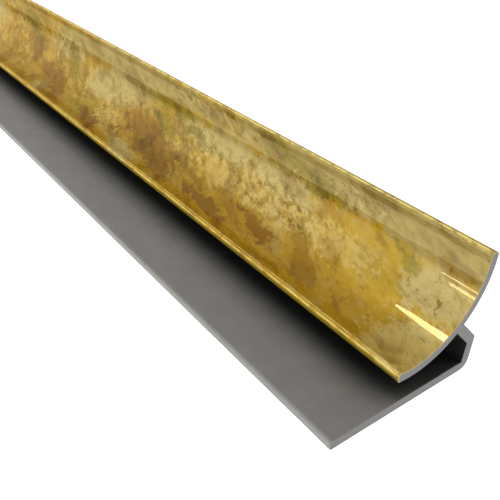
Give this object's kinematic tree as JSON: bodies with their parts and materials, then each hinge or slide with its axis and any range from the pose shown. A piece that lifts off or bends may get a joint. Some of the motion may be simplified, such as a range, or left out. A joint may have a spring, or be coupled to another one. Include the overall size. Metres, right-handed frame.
{
  "type": "inside corner cove trim",
  "caption": "Straight inside-corner cove trim: grey vinyl extrusion with a nailing flange, knee, leaning web and a curved cove leaf faced with aged-brass metallised film.",
  "frame": {"origin": "centre of the flange's back face, which is the bottom centre of the bounding box", "axes": "+X along the strip, +Y across the flange from its free edge towards the knee and the adjoining wall, +Z out from the wall the flange is fixed to"},
  "size_m": [0.4572, 0.0254, 0.019],
  "materials": {
    "grey_vinyl": "extruded grey rigid vinyl, plain and slightly satin, with a sawn end",
    "adhesive": "thin hot-melt bond line",
    "patina_film": "metallised film with an aged-brass patina of cloudy khaki, gold and brown patches",
    "clear_layer": "clear gloss layer"
  },
  "bodies": {
    "root": {"vinyl_profile": "grey_vinyl", "film_adhesive": "adhesive", "metallic_film": "patina_film", "clear_wear_layer": "clear_layer"}
  },
  "joints": []
}
